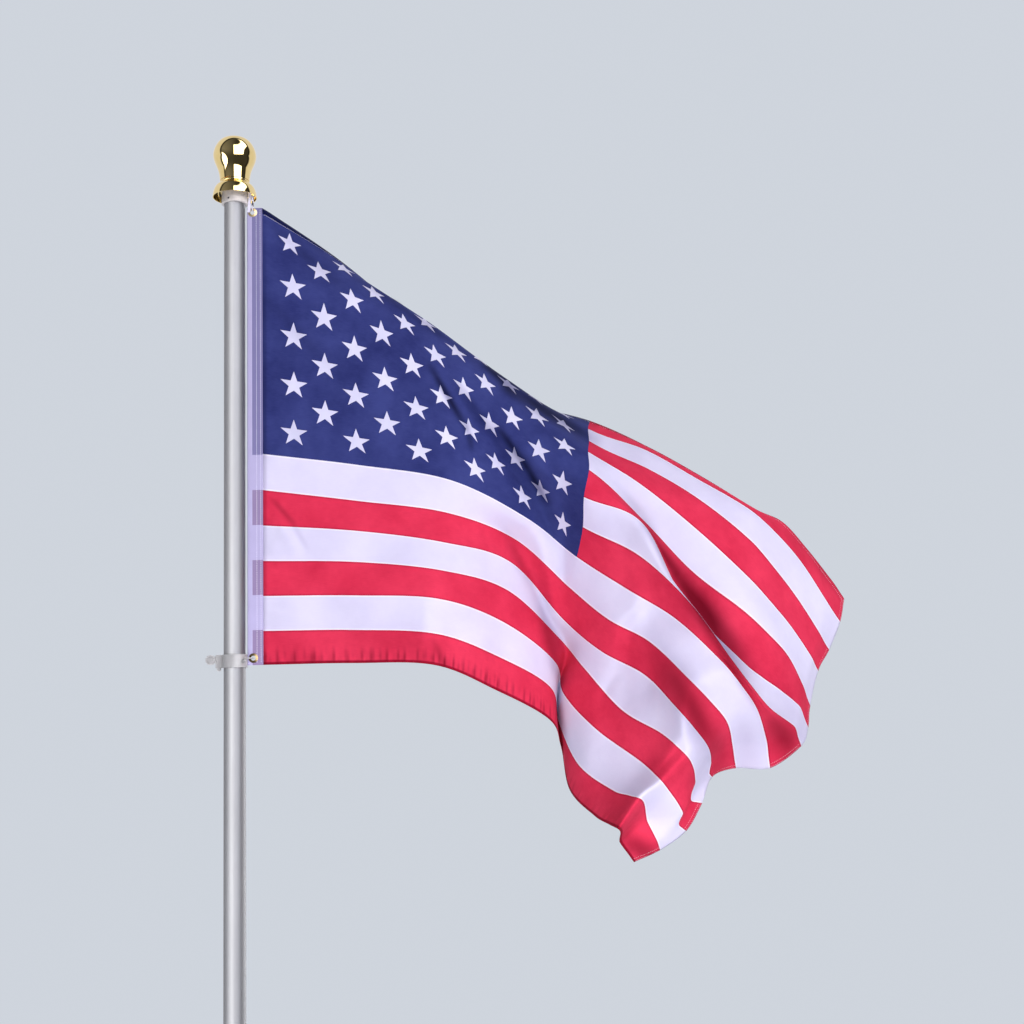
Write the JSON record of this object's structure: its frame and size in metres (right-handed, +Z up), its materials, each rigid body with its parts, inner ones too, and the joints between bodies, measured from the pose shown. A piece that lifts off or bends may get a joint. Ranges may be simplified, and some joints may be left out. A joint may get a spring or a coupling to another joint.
{
  "type": "sectional flagpole with flag",
  "caption": "Tall tubular flagpole with a gold finial, carrying a striped and starred flag on a swivel ring and a clamp ring.",
  "frame": {"origin": "centre of the pole's foot, at ground level", "axes": "+Z up along the pole, +X the way the flag flies, +Y away from the viewer"},
  "size_m": [1.2926, 0.335, 6.225],
  "materials": {
    "satin_aluminium": "satin",
    "gold_plate": "polished",
    "brass": "polished",
    "dark_steel": "satin",
    "pale_plastic": "satin",
    "black_plastic": "matte",
    "clear_plastic": "clear",
    "white_tape": "woven",
    "blue_cloth": "woven",
    "red_cloth": "woven",
    "white_cloth": "woven"
  },
  "bodies": {
    "pole": {"foot_plug": "black_plastic", "pole_lower": "satin_aluminium", "pole_middle": "satin_aluminium", "pole_upper": "satin_aluminium", "top_collar": "pale_plastic", "collar_screw": "dark_steel", "finial_cup": "gold_plate", "finial_bead": "gold_plate", "finial_ball": "gold_plate"},
    "flag": {"swivel_ring": "pale_plastic", "top_link": "dark_steel", "top_tie": "white_tape", "heading": "white_tape", "grommet_top": "brass", "grommet_foot": "brass", "union": "blue_cloth", "stripe_01": "red_cloth", "stripe_02": "white_cloth", "stripe_03": "red_cloth", "stripe_04": "white_cloth", "stripe_05": "red_cloth", "stripe_06": "white_cloth", "stripe_07": "red_cloth", "stripe_08": "white_cloth", "stripe_09": "red_cloth", "stripe_10": "white_cloth", "stripe_11": "red_cloth", "stripe_12": "white_cloth", "stripe_13": "red_cloth", "clamp_ring": "clear_plastic", "clamp_bolt": "clear_plastic", "thumb_nut": "clear_plastic", "foot_hook": "clear_plastic"}
  },
  "joints": [
    {"name": "flag_swing", "type": "hinge", "parent": "pole", "child": "flag", "pos_m": [0, 0, 5.6], "axis": [0, 0, 1], "continuous": true}
  ]
}
